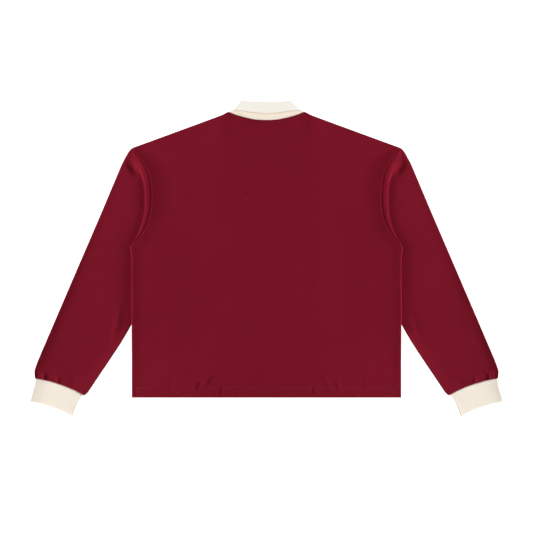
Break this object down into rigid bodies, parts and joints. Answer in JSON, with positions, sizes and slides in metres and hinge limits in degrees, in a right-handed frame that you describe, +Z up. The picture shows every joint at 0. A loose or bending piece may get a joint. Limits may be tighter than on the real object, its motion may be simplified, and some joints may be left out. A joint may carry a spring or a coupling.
{
  "type": "sweatshirt",
  "caption": "Boxy long-sleeved knit sweatshirt with a contrast fold-over collar and rib cuffs, laid flat on its front with its back up and its arms swung down.",
  "frame": {"origin": "middle of the garment's length and width, on the surface that it lies on", "axes": "+X across the garment towards the wearer's right sleeve, which is the picture's right; +Y from the hem towards the collar; +Z up, out of the back"},
  "size_m": [1.045, 0.6972, 0.0093],
  "materials": {
    "burgundy_knit": "matt brushed sweatshirt knit",
    "cream_rib": "matt fine rib knit",
    "ivory_knit": "matt flat-knit collar"
  },
  "bodies": {
    "root": {"back": "burgundy_knit", "front": "burgundy_knit", "sleeve_left": "burgundy_knit", "sleeve_right": "burgundy_knit", "cuff_left": "cream_rib", "cuff_right": "cream_rib", "collar_stand": "cream_rib", "collar_fall": "ivory_knit"}
  },
  "joints": []
}
